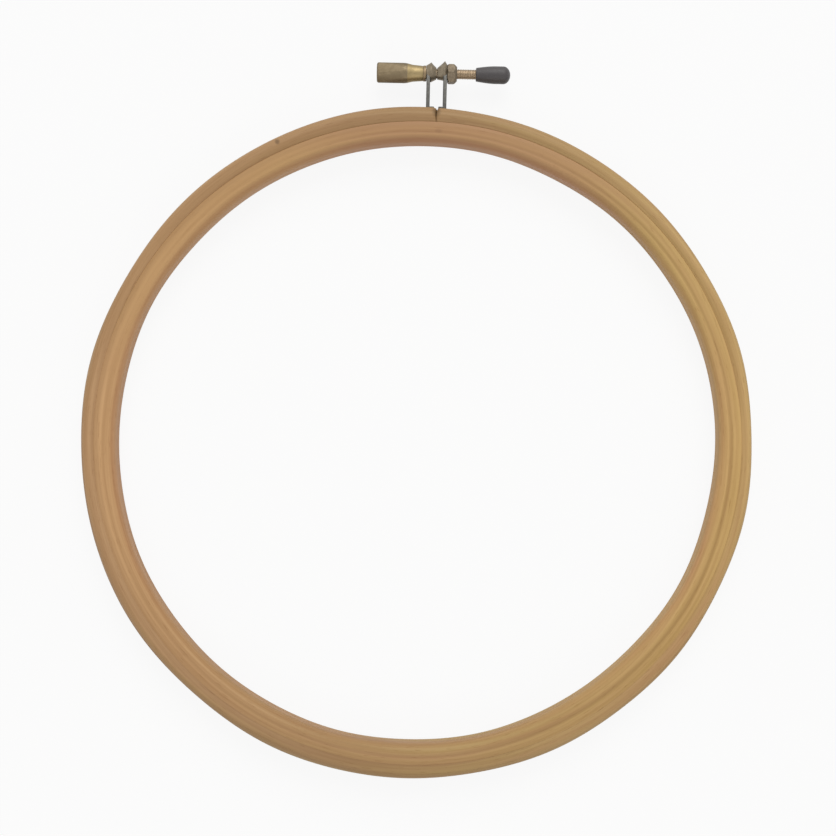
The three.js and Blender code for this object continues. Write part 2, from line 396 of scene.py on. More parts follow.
def glue_line_and_painted_shade(tree, tint, centred):
    """Darkens the glue line, then paints shade beside the joint and redder shade on the rounded wall, in that
    order.
    """
    across = add_node(tree, "ShaderNodeAttribute", {"attribute_name": "across"}).outputs["Fac"]
    off_line = maths(tree, "ABSOLUTE", maths(tree, "SUBTRACT", across, glue_line))
    sides = add_node(tree, "ShaderNodeSeparateXYZ", values={0: centred}).outputs
    on_right = ramp(tree, sides[0], 4.3, 0.6)
    near_clamp = ramp(tree, sides[1], 11.0, 1.15)
    on_left = maths(tree, "MULTIPLY", near_clamp, ramp(tree, sides[0], -5.0, 0.5))
    for place, clean_from, full_from, most, mark_colour in (
        (off_line, 0.9, 0.1, on_right, (0.8, 0.77, 0.74, 1)),
        # painted shade: darker wood beside the joint on the upper left, where the joint's soft shadow falls
        (across, 2.2, 0.8, on_left, (0.82, 0.8, 0.79, 1)),
        # painted shade: a darker, redder rounded wall near the clamp, where it faces away from the light
        (across, 4.4, 5.6, near_clamp, (0.97, 0.9, 0.92, 1)),
    ):
        share = soft_range(tree, place, clean_from, full_from, 0.0, most)
        tint = mix(tree, share, tint, mark_colour, "MULTIPLY")
    return tint


print("glue line", glue_line, "mm from the inner ring's flat wall")

# %% [markdown]
# The wood's material puts the groups together: grain gives colour, roughness and relief, marks
# colour single places with stains and with painted shade, and a thin varnish lies over all of it.
# The varnish is the shader's own coat, a second soft gloss, which costs no extra geometry.

# %% Wood material recipe
def on_ring(angle, radius_mm, height_mm):
    """A point on the rings, counted clockwise from the clamp as the front shows it."""
    turn = math.radians(angle)
    return (radius_mm * MM * math.sin(turn), radius_mm * MM * math.cos(turn), height_mm * MM)


def wood_material(name, pale, deep, painted_light_right, marks, with_glue_line_and_shade):
    """Each mark is its angle, radius, height, reach, strength and colour."""
    material = bpy.data.materials.new(name)
    material.use_nodes = True
    tree = material.node_tree
    tree.nodes.clear()
    coordinates = add_node(tree, "ShaderNodeTexCoord").outputs["Object"]
    centred = add_node(
        tree,
        "ShaderNodeMapping",
        {"vector_type": "TEXTURE"},
        {"Vector": coordinates, "Location": (ring_middle.x, ring_middle.y, 0)},
    ).outputs[0]
    grain = add_node(
        tree,
        "ShaderNodeGroup",
        {"node_tree": wood_grain},
        {"Place": centred, "Pale Wood": pale, "Deep Wood": deep, "Painted Light Right": painted_light_right},
    ).outputs
    tint = grain["Color"]
    for angle, radius_mm, height_mm, reach, strength, mark_colour in marks:
        mask = add_node(
            tree,
            "ShaderNodeGroup",
            {"node_tree": wood_mark},
            {
                "Place": centred,
                "Middle": on_ring(angle, radius_mm, height_mm),
                "Turn": math.radians(angle),
                "Reach": tuple(side * MM for side in reach),
            },
        ).outputs["Mask"]
        tint = mix(tree, maths(tree, "MULTIPLY", mask, strength), tint, mark_colour)
    if with_glue_line_and_shade:
        tint = glue_line_and_painted_shade(tree, tint, centred)
    relief = add_node(
        tree, "ShaderNodeBump", values={"Strength": 0.35, "Distance": 0.06 * MM, "Height": grain["Height"]}
    )
    shader = add_node(
        tree,
        "ShaderNodeBsdfPrincipled",
        values={
            "Base Color": tint,
            "Roughness": grain["Roughness"],
            "Normal": relief.outputs[0],
            "Specular IOR Level": 0.25,
            "Coat Weight": 0.02,
            "Coat Roughness": 0.4,
        },
    )
    add_node(tree, "ShaderNodeOutputMaterial", values={"Surface": shader.outputs[0]})
    return material


print("wood material recipe ready")

# %% [markdown]
# The two rings were cut from different boards, and the outer one is greyer. It has a knot on its
# left, and painted shade darkens the notch at its split, between the rounded ends. The inner ring
# has a fainter dark spot under the split. The three broad patches make the wood on both sides of the
# clamp a little paler or redder. Their reach is along the ring, across it and through its depth, in
# millimetres.

# %% The two rings' woods
# a knot's brown, also used as painted shade in the split's notch
knot_and_shade_brown = colour(70, 52, 38)
sapwood = colour(197, 157, 107)
heartwood = colour(180, 134, 102)
outer_wood = wood_material(
    "outer_ring_varnished_wood",
    colour(188, 154, 108),
    colour(152, 117, 76),
    # painted light on the outer ring's right side
    0.12,
    [
        (-28.15, 99.3, 10.4, (1.0, 1.2, 2.4), 0.7, knot_and_shade_brown),
        # painted shade in the split's notch, where the ring's rounded ends leave a shaded groove
        (0.1, 100.0, 11.0, (1.8, 3.2, 2.5), 0.45, knot_and_shade_brown),
        (-42, 99.0, 8.0, (70, 45, 30), 0.17, sapwood),
    ],
    with_glue_line_and_shade=False,
)
inner_wood = wood_material(
    "inner_ring_varnished_wood",
    colour(197, 161, 111),
    colour(164, 127, 81),
    # painted light on the inner ring's right side
    0.06,
    [
        (0.7, 93.6, 11.0, (1.6, 0.9, 1.0), 0.3, knot_and_shade_brown),
        (-44, 94.0, 8.0, (70, 45, 30), 0.5, sapwood),
        (8, 94.0, 8.0, (70, 45, 30), 0.5, heartwood),
    ],
    with_glue_line_and_shade=True,
)
print("wood:", outer_wood.name, inner_wood.name)

# %% [markdown]
# The metal parts have been handled for years: their polish is cloudy, with faint tarnish in soft
# patches and finer speckle over it. One group gives the tarnish as a mask between 0 and 1, and each
# metal decides what colour and roughness the tarnish has.

# %% Tarnish group
tarnish, given = new_group(
    "tarnish",
    [
        ("Place", "NodeSocketVector", None),
        ("Patch Size", "NodeSocketFloat", 900.0),
        ("Amount", "NodeSocketFloat", 0.5),
    ],
    [("Mask", "NodeSocketFloat"), ("Height", "NodeSocketFloat")],
)


def dirt_noise(scale, detail):
    options = {"noise_dimensions": "3D"}
    values = {"Vector": given["Place"], "Scale": scale, "Detail": detail, "Roughness": 0.6}
    return add_node(tarnish, "ShaderNodeTexNoise", options, values).outputs["Fac"]


patches = dirt_noise(given["Patch Size"], 4.0)
speckle = dirt_noise(9000.0, 2.0)
blend = maths(tarnish, "MULTIPLY_ADD", speckle, 0.35, maths(tarnish, "MULTIPLY", patches, 0.65))
shifted = maths(tarnish, "ADD", blend, maths(tarnish, "SUBTRACT", given["Amount"], 0.5))
mask = soft_range(tarnish, shifted, 0.32, 0.68, 0.0, 1.0)
add_node(tarnish, "NodeGroupOutput", values={"Mask": mask, "Height": blend})
print("tarnish group:", len(tarnish.nodes), "nodes")

# %% [markdown]
# Turned and drawn parts carry fine lines round their axis, left by the lathe or the wire die. A
# noise that is stretched in every direction but along the axis gives them. The group's Place has
# to have x along the axis, which a Mapping node sees to.

# %% Turning lines group
turning_lines, given = new_group(
    "turning_lines",
    [("Place", "NodeSocketVector", None), ("Lines per Metre", "NodeSocketFloat", 9000.0)],
    [("Height", "NodeSocketFloat")],
)
parts = add_node(turning_lines, "ShaderNodeSeparateXYZ", values={0: given["Place"]}).outputs
along_axis = add_node(
    turning_lines,
    "ShaderNodeTexNoise",
    {"noise_dimensions": "1D"},
    {"W": maths(turning_lines, "MULTIPLY", parts[0], given["Lines per Metre"]), "Scale": 1.0, "Detail": 3.0},
).outputs["Fac"]
add_node(turning_lines, "NodeGroupOutput", values={"Height": along_axis})
print("turning lines group:", len(turning_lines.nodes), "nodes")

# %% [markdown]
# All the metals share one recipe with different numbers: a clean and a tarnished colour, a clean and
# a tarnished roughness, and how strong the fine lines are. Brass is warm, plated steel is grey.

# %% Metal materials
def metal_material(name, clean, dull, clean_rough, dull_rough, amount, patch_size, lines, line_depth):
    material = bpy.data.materials.new(name)
    material.use_nodes = True
    tree = material.node_tree
    tree.nodes.clear()
    coordinates = add_node(tree, "ShaderNodeTexCoord").outputs["Object"]
    on_axis = add_node(
        tree,
        "ShaderNodeMapping",
        {"vector_type": "TEXTURE"},
        {"Vector": coordinates, "Location": screw_place.translation, "Rotation": (0, 0, clamp_lean)},
    ).outputs[0]
    dirt = add_node(
        tree,
        "ShaderNodeGroup",
        {"node_tree": tarnish},
        {"Place": on_axis, "Patch Size": patch_size, "Amount": amount},
    ).outputs
    tint = mix(tree, dirt["Mask"], clean, dull)
    rough = maths(tree, "MULTIPLY_ADD", dirt["Mask"], dull_rough - clean_rough, clean_rough)
    fine_lines = add_node(
        tree, "ShaderNodeGroup", {"node_tree": turning_lines}, {"Place": on_axis, "Lines per Metre": lines}
    ).outputs["Height"]
    grit = maths(tree, "MULTIPLY_ADD", dirt["Height"], 0.5, fine_lines)
    relief = add_node(
        tree, "ShaderNodeBump", values={"Strength": 0.4, "Distance": line_depth * MM, "Height": grit}
    )
    shader = add_node(
        tree,
        "ShaderNodeBsdfPrincipled",
        values={
            "Base Color": tint,
            "Metallic": 1.0,
            "Roughness": rough,
            "Normal": relief.outputs[0],
        },
    )
    add_node(tree, "ShaderNodeOutputMaterial", values={"Surface": shader.outputs[0]})
    return material


grip_brass = metal_material(
    "knurled_grip_brass", colour(124, 111, 89), colour(115, 102, 80), 0.5, 0.6, 0.45, 900.0, 4000.0, 0.012
)
polished_brass = metal_material(
    "polished_neck_brass", colour(152, 135, 100), colour(138, 122, 89), 0.5, 0.58, 0.42, 700.0, 7000.0, 0.006
)
thread_brass = metal_material(
    "thread_brass", colour(168, 149, 125), colour(146, 130, 108), 0.46, 0.56, 0.48, 900.0, 7000.0, 0.006
)
leg_steel = metal_material(
    "leg_steel", colour(100, 99, 95), colour(86, 85, 82), 0.44, 0.58, 0.5, 900.0, 6000.0, 0.005
)
eye_steel = metal_material(
    "pressed_eye_steel", colour(146, 134, 115), colour(120, 110, 94), 0.42, 0.55, 0.5, 900.0, 6000.0, 0.005
)
washer_steel = metal_material(
    "washer_steel", colour(146, 129, 105), colour(130, 112, 85), 0.55, 0.65, 0.5, 900.0, 6000.0, 0.005
)
nut_steel = metal_material(
    "nut_steel", colour(128, 116, 99), colour(108, 97, 82), 0.5, 0.6, 0.5, 900.0, 6000.0, 0.005
)
print("metals ready")

# %% [markdown]
# The cap on the screw's end is soft dark rubber. It hardly shines, but fine dust lies on it, and
# towards its outline the fuzz catches light, which the shader's sheen gives.

# %% Rubber material
cap_rubber = bpy.data.materials.new("cap_rubber")
cap_rubber.use_nodes = True
tree = cap_rubber.node_tree
tree.nodes.clear()
coordinates = add_node(tree, "ShaderNodeTexCoord").outputs["Object"]
dust = add_node(
    tree,
    "ShaderNodeGroup",
    {"node_tree": tarnish},
    {"Place": coordinates, "Patch Size": 1400.0, "Amount": 0.42},
).outputs
tint = mix(tree, maths(tree, "MULTIPLY", dust["Mask"], 0.5), colour(60, 56, 57), colour(80, 76, 76))
rough = maths(tree, "MULTIPLY_ADD", dust["Mask"], 0.18, 0.5)
relief = add_node(
    tree, "ShaderNodeBump", values={"Strength": 0.3, "Distance": 0.03 * MM, "Height": dust["Height"]}
)
shader = add_node(
    tree,
    "ShaderNodeBsdfPrincipled",
    values={
        "Base Color": tint,
        "Roughness": rough,
        "Normal": relief.outputs[0],
        "Sheen Weight": 0.15,
        "Sheen Roughness": 0.5,
    },
)
add_node(tree, "ShaderNodeOutputMaterial", values={"Surface": shader.outputs[0]})
print("rubber ready")

# %% [markdown]
# Every new piece ends the same way: its seams are merged, its faces are turned outwards, its curved
# faces are smoothed while sharp edges stay sharp, and it is hung on the body that it moves with, in
# place of the plain CAD part.

# %% Finishing a piece
def finish_piece(shape, name, materials, body, node, crease=38):
    bmesh.ops.remove_doubles(shape, verts=shape.verts, dist=0.0005 * MM)
    bmesh.ops.recalc_face_normals(shape, faces=shape.faces)
    open_edges = sum(not edge.is_manifold for edge in shape.edges)
    mesh = bpy.data.meshes.new(name)
    shape.to_mesh(mesh)
    shape.free()
    mesh.shade_smooth()
    mesh.set_sharp_from_angle(angle=math.radians(crease))
    for material in materials:
        mesh.materials.append(material)
    piece = bpy.data.objects.new(name, mesh)
    bpy.context.scene.collection.objects.link(piece)
    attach(piece, body)
    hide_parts(node)
    mesh.calc_loop_triangles()
    print(name, "has", len(mesh.loop_triangles), "triangles and", open_edges, "open edges")


def arc(middle, radii, start, end, steps):
    """Points on part of an ellipse, as pairs in millimetres, between two angles in degrees."""
    angles = [math.radians(start + (end - start) * step / steps) for step in range(steps + 1)]
    return [(middle[0] + radii[0] * math.cos(a), middle[1] + radii[1] * math.sin(a)) for a in angles]


def wire(shape, points, closed):
    """A chain of edges through the points."""
    corners = [shape.verts.new(point) for point in points]
    pairs = list(zip(corners, corners[1:]))
    if closed:
        pairs.append((corners[-1], corners[0]))
    return corners + [shape.edges.new(pair) for pair in pairs]


print("finishing helpers ready")

# %% [markdown]
# Each ring is one section swept round a circle. The wall that meets the other ring is flat, the wall
# that shows is rounded over, and the back is like the front. The inner ring was bent from two
# strips, and their glue line has sunk to a shallow groove that its front shows. The section could
# be drawn as faces all round the ring, but a lathe is simpler: draw it once, as a closed chain of
# edges, and spin it. Each point also stores how far it is from the flat wall, so that the wood's
# material can find the glue line.

# %% The rings' section
side_flat = 4.4
depth_mm = ring_depth / MM


def ring_front(near_seat, land_end, wall):
    """Half a section, as pairs of the distance from the flat wall and the drop below the front."""
    shoulder_drop = (depth_mm - side_flat) / 2
    crown = near_seat[-1][1]
    shoulder = arc((land_end, -shoulder_drop), (wall - land_end, shoulder_drop + crown), 90, 0, 12)
    return near_seat + shoulder


def spun_ring(flat_radius, outward, front, closed):
    """outward is 1 where the rounded wall faces out, and -1 where it faces in."""
    section = [(across, depth_mm + drop) for across, drop in front]
    section += [(across, -drop) for across, drop in front[::-1]]
    points = [(0, (flat_radius + outward * across) * MM, height * MM) for across, height in section]
    shape = bmesh.new()
    chain = wire(shape, points, closed=True)
    bmesh.ops.spin(
        shape, geom=chain, cent=(0, 0, 0), axis=(0, 0, 1), dvec=(0, 0, 0),
        angle=2 * math.pi, steps=360, use_merge=closed, use_duplicate=False,
    )
    stored = shape.verts.layers.float.new("across")
    for corner in shape.verts:
        corner[stored] = outward * (corner.co.to_2d().length / MM - flat_radius)
    return shape


snug_gap = 0.02
seat_shift = 0.16
inner_seat_radius = inner_ring_radius / MM + seat_shift
seat_radius = inner_seat_radius + snug_gap
inner_wall = 5.97 + seat_shift
outer_wall = outer_ring_radius / MM - seat_radius
slope = [(0, -0.56), (0.3, -0.42), (0.6, -0.3), (0.9, -0.19), (1.2, -0.1), (1.5, -0.04), (1.8, 0)]
outer_front = ring_front(slope, 2.0, outer_wall)
groove = [
    (0, -0.28), (0.25, -0.17), (0.5, -0.09), (0.8, -0.03), (1.1, 0), (1.5, 0), (1.9, -0.02), (2.3, -0.05),
    (2.6, -0.09), (glue_line, -0.11), (3.05, -0.1), (3.3, -0.08), (3.5, -0.08),
]
inner_front = ring_front(groove, 3.7, inner_wall)
print("walls in mm:", round(outer_wall, 2), round(inner_wall, 2))

# %% [markdown]
# The hoop was bent and sanded by hand, so its walls aren't true circles: the rounded ones swell and
# dip by a few tenths of a millimetre. A handful of waves of different lengths, added together, looks
# natural and repeats exactly where the ring closes. The flat walls wander too, but together, because
# the rings still fit, and the groove wanders a little more. The edges at the joint slope down most
# near the clamp, where hands and cloth wear them. On the far side the two fronts meet almost flush,
# so a share of each slope is filled again there.

# %% Hand-made unevenness
seat_sway = 0.28
seat_oval = 0.36
groove_sway = 0.4
groove_reach = 1.4
joint_edge = 1.6
most_filled = 0.85


def make_uneven(shape, outward, wall, waves, pulled_in):
    """waves holds how many times each goes round, its height in millimetres and its start in degrees."""
    stored = shape.verts.layers.float["across"]
    moved = []
    for corner in shape.verts:
        across = corner[stored]
        reach = min(1.0, max(0.0, across / wall))
        turn = math.atan2(corner.co.x, corner.co.y)
        swell = sum(height * math.cos(count * turn - math.radians(start)) for count, height, start in waves)
        rounded = outward * (swell - pulled_in)
        flat = seat_sway * math.sin(turn) - seat_oval * math.cos(2 * turn)
        change = rounded * reach**2 + flat * (1 - reach)
        if outward < 0:
            near_groove = max(0.0, 1 - abs(across - glue_line) / groove_reach)
            change -= groove_sway * math.cos(turn) * near_groove
        if across < joint_edge:
            middle = depth_mm / 2 * MM
            from_middle = corner.co.z - middle
            drop = middle - abs(from_middle)
            filled = most_filled * min(1.0, max(0.0, 0.45 - 0.75 * math.cos(turn)))
            corner.co.z = middle + math.copysign(middle - drop * (1 - filled), from_middle)
        radius = corner.co.to_2d().length
        corner.co.xy *= (radius + change * MM) / radius
        moved.append(rounded)
    print("the rounded wall moved by", round(min(moved), 2), "to", round(max(moved), 2), "mm")


print("the flat walls wander by up to", round(seat_sway + seat_oval, 2), "mm")

# %% [markdown]
# The outer ring is spun through a whole turn, but left open where it starts, at the split. Its
# rounded wall lies a little inside the CAD's, so that the highest wave still stays within it.

# %% Outer ring's bent shape
outer_pulled_in = 0.42

outer = spun_ring(seat_radius, 1, outer_front, closed=False)
make_uneven(
    outer, 1, outer_wall,
    [
        (2, 0.088, 84), (3, 0.09, -15), (4, 0.07, -99), (5, 0.07, -99), (7, 0.05, -140), (8, 0.085, 120),
        (9, 0.09, -38), (10, 0.08, -99), (12, 0.055, 121), (13, 0.075, 178), (14, 0.07, -46),
    ],
    outer_pulled_in,
)
bmesh.ops.transform(outer, matrix=Matrix.Translation((ring_middle.x, ring_middle.y, 0)), verts=outer.verts)
print("outer ring spun with", len(outer.faces), "faces")

# %% [markdown]
# Each end of the outer ring is first drawn out past the other, and then a plane saws it to the
# clamp's slant. The saw also leaned a little through the ring's depth, so hardly any light shows
# through the split. A boolean cut would leave bare corners. Here more cuts close to each end give it
# edges, which are drawn in to round it over, and the two openings are capped as end grain.

# %% Sawn split
split_at_seat = 0.03
split_at_outside = 0.2
saw_lean = math.radians(7)
near_split = 4
drawn_past = 1.5
end_rounding = 1.0
drawn_in = 0.65
lowered_at_seat = 0.4
rim_bevel = 0.08

to_clamp = clamp_place.inverted()
ends = []
for side in (-1, 1):
    faces = []
    for face in outer.faces:
        spot = face.calc_center_median()
        if spot.y > 0 and 0 < side * spot.x < near_split * MM:
            faces.append(face)
    ends.append((side, list({part for face in faces for part in (face, *face.edges, *face.verts)})))
for side, near in ends:
    loose = [part for part in near if isinstance(part, bmesh.types.BMVert) and part.is_boundary]
    bmesh.ops.translate(outer, verts=loose, vec=(-side * drawn_past * MM, 0, 0))
    end_normal = Vector(
        (-side * outer_wall, split_at_outside - split_at_seat, -side * outer_wall * math.tan(saw_lean))
    ).normalized()
    end_spot = Vector((side * split_at_outside, 0, depth_mm / 2)) * MM
    for inset in (0.0, 0.12, 0.3, 0.6, end_rounding):
        near = bmesh.ops.bisect_plane(
            outer, geom=near, dist=0.0001 * MM,
            plane_co=clamp_place @ (end_spot - end_normal * inset * MM),
            plane_no=clamp_place.to_3x3() @ end_normal,
            clear_outer=inset == 0.0,
        )["geom"]
    for corner in {part for part in near if isinstance(part, bmesh.types.BMVert)}:
        from_end = max(0.0, (end_spot - to_clamp @ corner.co).dot(end_normal) / MM)
        if from_end < end_rounding:
            offset = corner.co - ring_middle
            radius = offset.to_2d().length / MM
            reach = min(1.0, max(0.0, (radius - seat_radius) / outer_wall))
            drop = end_rounding - math.sqrt(end_rounding**2 - (end_rounding - from_end) ** 2)
            lowered = drop * (lowered_at_seat + (1 - lowered_at_seat) * reach)
            offset.xy *= (radius - drawn_in * drop * reach**2) / radius
            offset.z *= 1 - lowered / (depth_mm / 2)
            corner.co = ring_middle + offset

open_ends = [edge for edge in outer.edges if edge.is_boundary]
caps = bmesh.ops.holes_fill(outer, edges=open_ends, sides=0)["faces"]
print("end grain faces:", len(caps))
rims = list({edge for cap in caps for edge in cap.edges})
bmesh.ops.bevel(
    outer, geom=rims, offset=rim_bevel * MM, offset_type="OFFSET", affect="EDGES",
    segments=2, profile=0.5, material=-1,
)
finish_piece(outer, "outer_ring_bent_wood", [outer_wood], "hoop_frame", "outer_ring")

# %% [markdown]
# The inner ring is a closed circle, so its spin goes the whole way and merges its last section with
# its first. Its rounded wall faces in.

# %% Inner ring
inner = spun_ring(inner_seat_radius, -1, inner_front, closed=True)
make_uneven(
    inner, -1, inner_wall,
    [
        (2, 0.357, -55), (3, 0.15, 46), (6, 0.08, 155), (8, 0.08, 7), (9, 0.06, -158), (10, 0.06, -110),
        (14, 0.065, -12),
    ],
    0.14,
)
bmesh.ops.transform(inner, matrix=Matrix.Translation((ring_middle.x, ring_middle.y, 0)), verts=inner.verts)
finish_piece(inner, "inner_ring_bent_wood", [inner_wood], "loose_ring", "inner_ring")

# %% [markdown]
# The clamp's round parts are all turned shapes, so one lathe helper makes them from a chain of
# points: x along the screw and y as the radius. A chain whose ends are on the axis makes a solid,
# and a closed chain away from the axis makes a ring.

# %% A lathe for the clamp
def lathe(points, steps, closed=False):
    shape = bmesh.new()
    chain = wire(shape, [(x * MM, y * MM, 0) for x, y in points], closed)
    bmesh.ops.spin(
        shape, geom=chain, cent=(0, 0, 0), axis=(1, 0, 0), dvec=(0, 0, 0),
        angle=2 * math.pi, steps=steps, use_merge=True, use_duplicate=False,
    )
    bmesh.ops.remove_doubles(shape, verts=shape.verts, dist=0.0005 * MM)
    return shape


def put(shape, place):
    bmesh.ops.transform(shape, matrix=place, verts=shape.verts)
    return shape


print("clamp lathe ready")

# %% [markdown]
# Each bracket is a strap of sheet steel. Its tail is set into the wood, a short foot curls over the
# wood's rounded corner, the leg stands up, and its top is pressed into a dished eye for the screw.
# The leg is a flat outline with a half-round notch for the screw, pushed out to the sheet's
# thickness. The foot is a small block spun a little round the wood's corner.

# %% Bracket strap and foot
leg_inner = 1.98
leg_outer = 3.08
strap_half = 2.2
tail_depth = 3.6
screw_hole = 1.8
foot_sunk = 0.02
foot_thickness = 0.5
foot_curl = math.radians(24)
corner_spot = (split_at_outside + end_rounding, -outer_pulled_in - end_rounding)


def soften(shape, offset, segments, angle=50):
    """Rounds every edge where two faces meet at more than that angle."""
    sharp = [e for e in shape.edges if e.is_manifold and e.calc_face_angle() > math.radians(angle)]
    bmesh.ops.bevel(
        shape, geom=sharp, offset=offset * MM, offset_type="OFFSET", affect="EDGES",
        segments=segments, profile=0.5, material=-1,
    )


def strap(side):
    top = screw_height / MM
    outline = (
        [(-strap_half, -tail_depth), (-strap_half, top)]
        + arc((0, top), (screw_hole, screw_hole), 180, 360, 16)
        + [(strap_half, top), (strap_half, -tail_depth)]
    )
    shape = bmesh.new()
    corners = [shape.verts.new((side * leg_inner * MM, y * MM, z * MM)) for z, y in outline]
    blank = shape.faces.new(corners)
    grown = bmesh.ops.extrude_face_region(shape, geom=[blank])["geom"]
    far_side = [part for part in grown if isinstance(part, bmesh.types.BMVert)]
    bmesh.ops.translate(shape, verts=far_side, vec=(side * (leg_outer - leg_inner) * MM, 0, 0))
    bmesh.ops.recalc_face_normals(shape, faces=shape.faces)
    soften(shape, 0.16, 3)
    return shape


def foot(side):
    """A block from the leg to the wood's corner, spun a little further round that corner."""
    low = -outer_pulled_in - foot_sunk
    high = low + foot_thickness
    in_leg = leg_inner + 0.3
    shape = bmesh.new()
    rim = [(low, -strap_half), (high, -strap_half), (high, strap_half), (low, strap_half)]
    start = shape.faces.new([shape.verts.new((side * in_leg * MM, y * MM, z * MM)) for y, z in rim])
    tip = bmesh.ops.extrude_face_region(shape, geom=[start])["geom"]
    corners = [part for part in tip if isinstance(part, bmesh.types.BMVert)]
    bmesh.ops.translate(shape, verts=corners, vec=(side * (corner_spot[0] - in_leg) * MM, 0, 0))
    bmesh.ops.spin(
        shape, geom=tip, cent=(side * corner_spot[0] * MM, corner_spot[1] * MM, 0), axis=(0, 0, 1),
        dvec=(0, 0, 0), angle=side * foot_curl, steps=6, use_merge=False, use_duplicate=False,
    )
    bmesh.ops.recalc_face_normals(shape, faces=shape.faces)
    soften(shape, 0.1, 2)
    return shape


print("strap and foot helpers ready")

# %% [markdown]
# The eye is a shallow cup, open towards its twin, with its rim standing a little above the screw.
# It starts as a turned ring: a flare from the lip to the rim, and a curved back down to the hole.
# Then every point is lifted by how far out it lies, so the rim rides up while the hole stays round
# the screw. The leg and the eye are one strap, so both go into one piece.

# %% Bracket eyes and the finished brackets
eye_rim = 2.95
eye_back = 3.18
eye_tip = 0.12
eye_hole = 1.57
lip = eye_hole + 0.16
back_fall = eye_rim - eye_hole - 0.7


def eye(side, rim_at, rim_lift):
    flare = [
        (eye_tip + (rim_at - eye_tip) * t, lip + (eye_rim - lip) * (0.9 * t + 0.1 * t * t))
        for t in (0, 0.2, 0.4, 0.6, 0.8, 1.0)
    ]
    back = [
        (rim_at + (eye_back - rim_at) * t, eye_rim - back_fall * (1.25 * t - 0.25 * t * t))
        for t in (0.25, 0.5, 0.75, 1.0)
    ]
    points = [(side * x, y) for x, y in flare + back + [(eye_back, eye_hole), (eye_tip, eye_hole)]]
    shape = lathe(points, 64, closed=True)
    for corner in shape.verts:
        radius = math.hypot(corner.co.y, corner.co.z) / MM
        corner.co.y += rim_lift * MM * max(0.0, radius - lip) / (eye_rim - lip)
    bmesh.ops.recalc_face_normals(shape, faces=shape.faces)
    soften(shape, 0.05, 2, 60)
    return put(shape, Matrix.Translation((0, screw_height, 0)))


def joined(shapes):
    """Puts several shapes into the first."""
    first, *rest = shapes
    for other in rest:
        scrap = bpy.data.meshes.new("scrap")
        other.to_mesh(scrap)
        other.free()
        first.from_mesh(scrap)
        bpy.data.meshes.remove(scrap)
    return first


for side, name, rim_at, rim_lift, node in (
    (-1, "left_bracket_sheet_steel", 1.73, 0.4, "left_bracket"),
    (1, "right_bracket_sheet_steel", 2.43, 0.9, "right_bracket"),
):
    dish = eye(side, rim_at, rim_lift)
    for face in dish.faces:
        face.material_index = 1
    whole = joined([strap(side), foot(side), dish])
    finish_piece(put(whole, clamp_place), name, [leg_steel, eye_steel], "hoop_frame", node)

# %% [markdown]
# The two pins that hold the tails are hidden in the wood. Their CAD shape is right as it stands, so
# they only get the steel.

# %% Pins
for node in ("left_bracket_pin", "right_bracket_pin"):
    pin_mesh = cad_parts[node].data
    pin_mesh.materials.clear()
    pin_mesh.materials.append(leg_steel)
print("pins dressed")

# %% [markdown]
# The thumb knob is turned from brass: a straight grip with fine ridges for the fingers, a taper and
# a polished neck. The ridges could be a bump map, but a real outline catches the light better from
# close by. The lathe leaves four columns of points to each ridge, and two of them are pressed in.
# Places along the screw are in millimetres from the middle of the clamp.

# %% Thumb knob
knob_face = -4.1
neck_end = (-4.28, 2.25)
taper_end = (-6.63, 2.45)
taper_start = (-9.83, 3.0)
knob_end = -18.13
end_radius = 0.55
polish_from = -9.0
ridges = 46
ridge_depth = 0.06

grip_radius = taper_start[1]
taper_run = taper_end[0] - taper_start[0]
taper_fall = grip_radius - taper_end[1]
profile = (
    [(knob_end, 0), (knob_end, 1.2)]
    + arc((knob_end + end_radius, grip_radius - end_radius), (end_radius, end_radius), 180, 90, 6)
    + [(knob_end + 0.75, grip_radius), (taper_start[0] - 0.2, grip_radius), taper_start]
    + [
        (taper_start[0] + taper_run * t, grip_radius - taper_fall * (t * t * (3 - 2 * t)))
        for t in (0.15, 0.3, 0.45, 0.6, 0.75, 0.9, 1.0)
    ]
    + [neck_end, (knob_face, neck_end[1] - 0.1), (knob_face, 0)]
)
knob = lathe(profile, 4 * ridges)
for corner in knob.verts:
    radius = math.hypot(corner.co.y, corner.co.z)
    column = round(math.atan2(corner.co.z, corner.co.y) / (2 * math.pi) * 4 * ridges) % 4
    on_grip = (knob_end + 0.3) * MM < corner.co.x < (taper_start[0] - 0.1) * MM
    if on_grip and radius > 2.6 * MM and column in (1, 2):
        corner.co.yz *= (radius - ridge_depth * MM) / radius
for face in knob.faces:
    face.material_index = int(face.calc_center_median().x > polish_from * MM)
finish_piece(
    put(knob, screw_place), "thumb_knob_turned_brass", [grip_brass, polished_brass],
    "thumb_screw", "thumb_knob", crease=28,
)

# %% [markdown]
# The washer is a thin ring between the knob's neck and the left eye, with its edges just broken.

# %% Washer
washer_back = -3.22
washer_hole = 1.55
washer_rim = 2.35

corners = [(knob_face, washer_hole), (knob_face, washer_rim)]
corners += [(washer_back, washer_rim), (washer_back, washer_hole)]
washer = lathe(corners, 64, closed=True)
bmesh.ops.recalc_face_normals(washer, faces=washer.faces)
soften(washer, 0.1, 3)
finish_piece(
    put(washer, screw_place), "washer_pressed_steel", [washer_steel], "washer", "knob_washer"
)

# %% [markdown]
# The nut starts as a six-sided ring of edges, with more points along each side. Layer by layer it is
# extruded along the screw, with layers close together where its corners are going to be turned off.

# %% Clamp nut's six sides
nut_start = 3.2
nut_end = 6.08
nut_flat = 2.7
nut_corner = nut_flat / math.cos(math.radians(30))
end_bevel = 0.55

